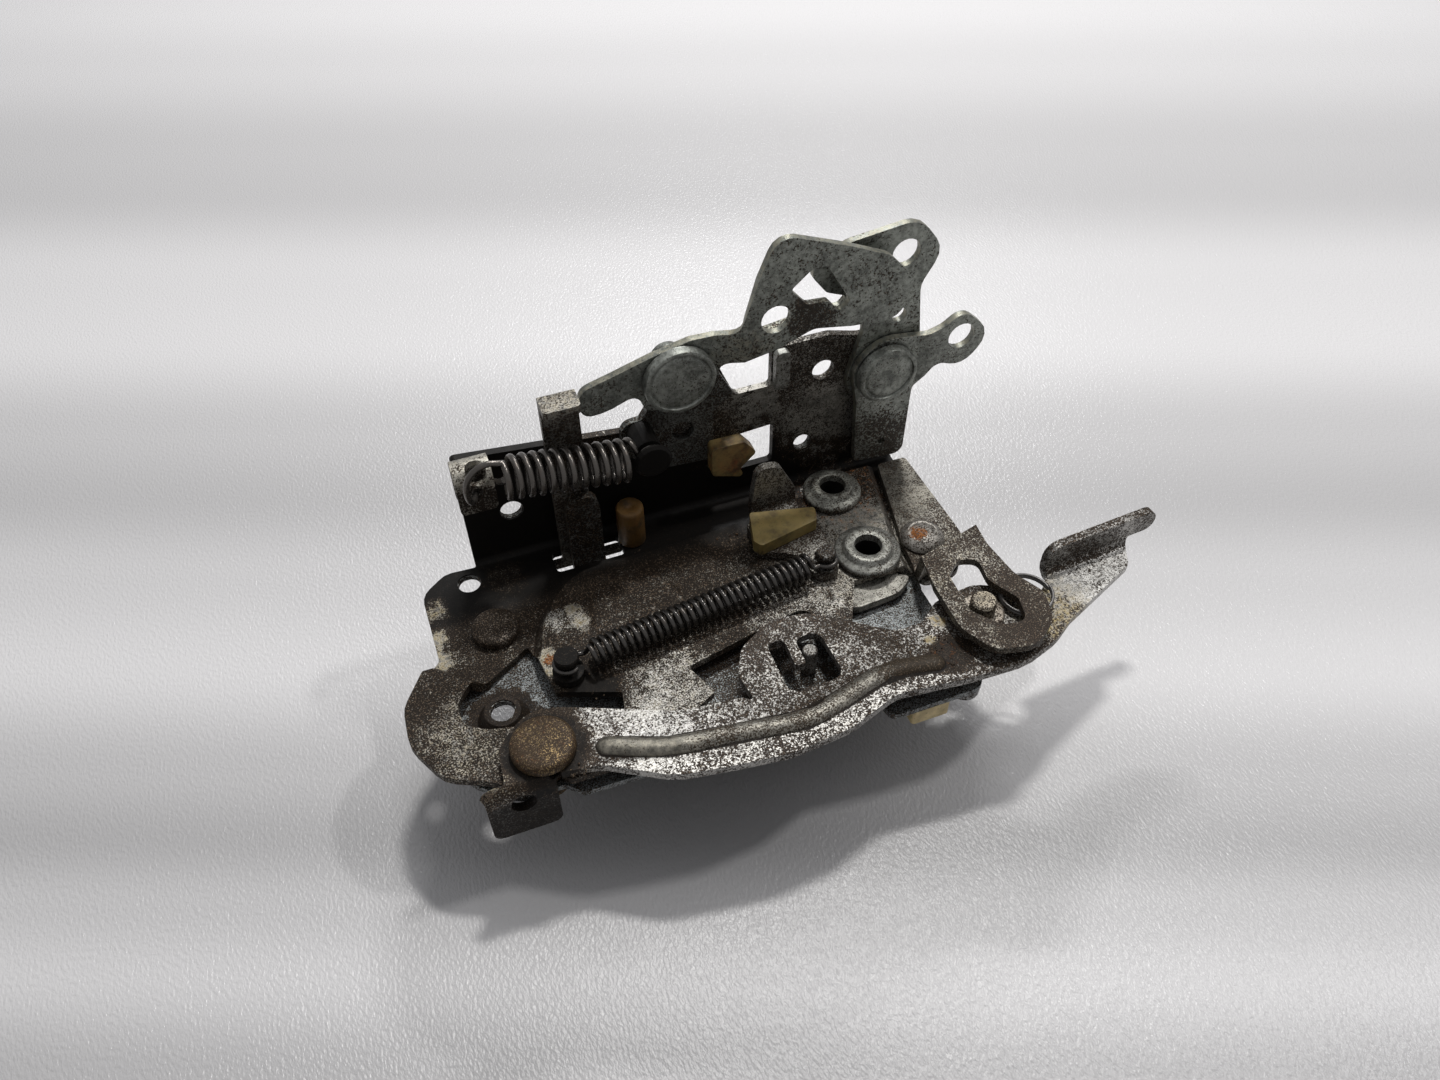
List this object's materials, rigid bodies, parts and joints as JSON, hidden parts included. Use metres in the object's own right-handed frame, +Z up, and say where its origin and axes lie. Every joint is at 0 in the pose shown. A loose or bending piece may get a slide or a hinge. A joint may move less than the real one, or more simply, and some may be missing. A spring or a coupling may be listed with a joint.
{
  "type": "car door lock",
  "caption": "Used car door lock: folded steel bracket with riveted levers, springs and collars, and the latch case below.",
  "frame": {"origin": "middle of the underside of the latch case", "axes": "+X along the fold to the right, +Y from the near edge to the flange, +Z up"},
  "size_m": [0.1676, 0.0789, 0.101],
  "materials": {
    "greasy_steel": "dark grease and rust over zinc",
    "zinc": "zinc plate with grease specks",
    "worn_zinc": "worn zinc plate with brown film",
    "rust": "brown rust",
    "spring_steel": "black oiled wire",
    "case_metal": "dull zinc",
    "nylon": "aged yellow plastic"
  },
  "bodies": {
    "frame": {"anchor_tab": "worn_zinc", "arm_rivet": "rust", "bracket": "greasy_steel", "bumper_block": "nylon", "cam_pin": "zinc", "eye_rivet": "worn_zinc", "far_collar": "worn_zinc", "fork_pin": "zinc", "fork_spring": "spring_steel", "handle_rivet": "worn_zinc", "latch_case": "case_metal", "left_rivet": "rust", "lever_rivet": "rust", "link_rivet": "rust", "lower_plate": "zinc", "lower_spring": "spring_steel", "near_collar": "worn_zinc", "panel_stud": "greasy_steel", "pawl_spring": "spring_steel", "rubber_buffer": "nylon", "stop_bush": "zinc", "upper_spring": "spring_steel", "window_clip": "nylon", "window_tab": "zinc"},
    "ribbed": {"ribbed_lever": "zinc", "slot_pin": "worn_zinc", "slot_washer": "rust", "link_spring": "spring_steel"},
    "link": {"slotted_link": "worn_zinc"},
    "arm": {"release_arm": "greasy_steel", "nylon_wedge": "nylon", "arm_stud": "worn_zinc"},
    "handle": {"handle_lever": "worn_zinc", "rear_lever": "greasy_steel", "handle_stud": "greasy_steel"},
    "tall_eye": {"tall_eye_lever": "zinc"},
    "side_eye": {"side_eye_lever": "zinc"},
    "post": {"lock_post": "worn_zinc", "lock_link": "greasy_steel"},
    "fork": {"fork_bolt": "zinc"},
    "pawl": {"pawl": "zinc", "pawl_hub": "zinc", "pawl_ring": "spring_steel", "pawl_lever": "zinc"}
  },
  "joints": [
    {"name": "ribbed_lever_turn", "type": "hinge", "parent": "frame", "child": "ribbed", "pos_m": [-0.0483, -0.0299, 0.032], "axis": [0, 0, 1], "range_deg": [0, 4]},
    {"name": "link_turn", "type": "hinge", "parent": "frame", "child": "link", "pos_m": [0.0476, -0.0041, 0.029], "axis": [0, 0, 1], "range_deg": [-3, 0]},
    {"name": "release_arm_turn", "type": "hinge", "parent": "frame", "child": "arm", "pos_m": [0.0175, 0.008, 0.032], "axis": [0, 0, 1], "range_deg": [-8, 0], "stiffness_Nm_per_rad": 0.05, "deforming": ["lower_spring"]},
    {"name": "handle_lever_turn", "type": "hinge", "parent": "frame", "child": "handle", "pos_m": [-0.0009, 0.0245, 0.0715], "axis": [0, 1, 0], "range_deg": [-12, 0], "stiffness_Nm_per_rad": 0.1, "deforming": ["upper_spring"]},
    {"name": "tall_eye_lever_turn", "type": "hinge", "parent": "frame", "child": "tall_eye", "pos_m": [0.0483, 0.0259, 0.0588], "axis": [0, 1, 0], "range_deg": [-10, 5]},
    {"name": "side_eye_lever_turn", "type": "hinge", "parent": "frame", "child": "side_eye", "pos_m": [0.0483, 0.0239, 0.0588], "axis": [0, 1, 0], "range_deg": [-4, 8]},
    {"name": "lock_post_slide", "type": "slide", "parent": "frame", "child": "post", "axis": [0, 0, 1], "range_m": [-0.004, 0]},
    {"name": "fork_turn", "type": "hinge", "parent": "frame", "child": "fork", "pos_m": [-0.02, -0.0055, 0.012], "axis": [0, 0, 1], "range_deg": [0, 35], "stiffness_Nm_per_rad": 0.02},
    {"name": "pawl_turn", "type": "hinge", "parent": "frame", "child": "pawl", "pos_m": [0.0333, -0.0047, 0.016], "axis": [0, 0, 1], "range_deg": [-10, 0], "stiffness_Nm_per_rad": 0.02}
  ]
}
